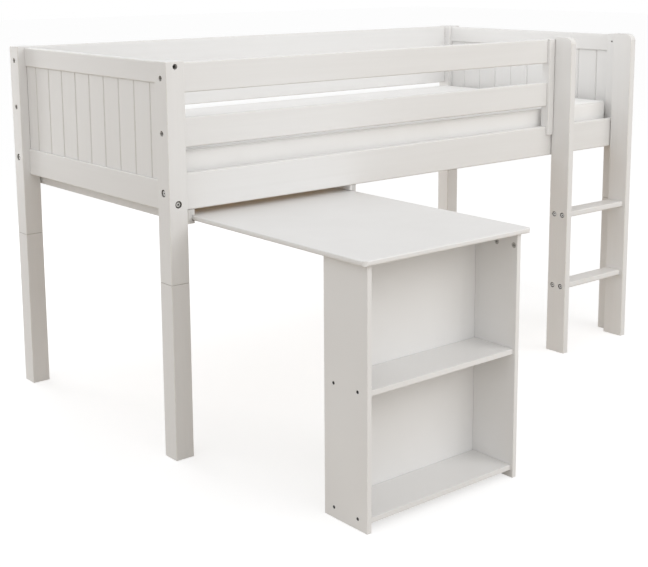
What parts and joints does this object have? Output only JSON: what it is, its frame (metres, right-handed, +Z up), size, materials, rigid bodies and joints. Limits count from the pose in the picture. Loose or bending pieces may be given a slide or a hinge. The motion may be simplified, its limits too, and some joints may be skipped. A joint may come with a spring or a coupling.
{
  "type": "cabin bed",
  "caption": "Cabin bed with boarded ends, guard boards, a short ladder and a mattress on slats; a desk with a shelf unit slides out from under it.",
  "frame": {"origin": "on the floor, at the centre of the front left leg's underside", "axes": "+X along the bed to the right, +Y from the front to the rear, +Z up"},
  "size_m": [2.15, 1.756, 1.204],
  "materials": {
    "white_paint": "satin white paint over solid wood",
    "white_boards": "satin white paint over tongue-and-groove boards",
    "white_panel": "smooth white painted board",
    "bare_pine": "planed, unpainted",
    "zinc_steel": "zinc plated",
    "dark_steel": "blackened",
    "mattress_cover": "white knitted cover"
  },
  "bodies": {
    "bed_frame": {"post_front_left": "white_paint", "post_front_right": "white_paint", "post_rear_left": "white_paint", "post_rear_right": "white_paint", "leg_front_left": "white_paint", "leg_front_right": "white_paint", "leg_rear_left": "white_paint", "leg_rear_right": "white_paint", "leg_studs": "zinc_steel", "side_rail_front": "white_paint", "side_rail_rear": "white_paint", "end_left_top_rail": "white_paint", "end_left_bottom_rail": "white_paint", "end_left_boards": "white_boards", "end_right_top_rail": "white_paint", "end_right_bottom_rail": "white_paint", "end_right_boards": "white_boards", "guard_front_upper": "white_paint", "guard_front_lower": "white_paint", "guard_upright": "white_paint", "guard_rear": "white_paint", "ladder_stile_left": "white_paint", "ladder_stile_right": "white_paint", "ladder_rung_upper": "white_paint", "ladder_rung_lower": "white_paint", "ledger_front": "bare_pine", "ledger_rear": "bare_pine", "slats": "bare_pine", "runner_left": "white_paint", "runner_right": "white_paint", "frame_bolts": "zinc_steel", "barrel_nuts": "zinc_steel", "dowels": "bare_pine", "post_screws": "dark_steel", "upright_screws": "zinc_steel", "rung_bolts": "zinc_steel", "ladder_bolts": "zinc_steel", "ladder_spacers": "zinc_steel", "ledger_screws": "zinc_steel", "slat_screws": "zinc_steel", "runner_screws": "zinc_steel"},
    "desk": {"desk_top": "white_panel", "desk_side_left": "white_panel", "desk_side_right": "white_panel", "desk_back": "white_panel", "desk_shelf_middle": "white_panel", "desk_shelf_bottom": "white_panel", "desk_cams": "zinc_steel", "desk_cam_bolts": "zinc_steel", "desk_screws": "dark_steel"},
    "mattress": {"mattress": "mattress_cover"}
  },
  "joints": [
    {"name": "desk_slide", "type": "slide", "parent": "bed_frame", "child": "desk", "axis": [0, 1, 0], "range_m": [0, 0.756]},
    {"name": "mattress_lift", "type": "slide", "parent": "bed_frame", "child": "mattress", "axis": [0, 0, 1], "range_m": [0, 0.3]}
  ]
}
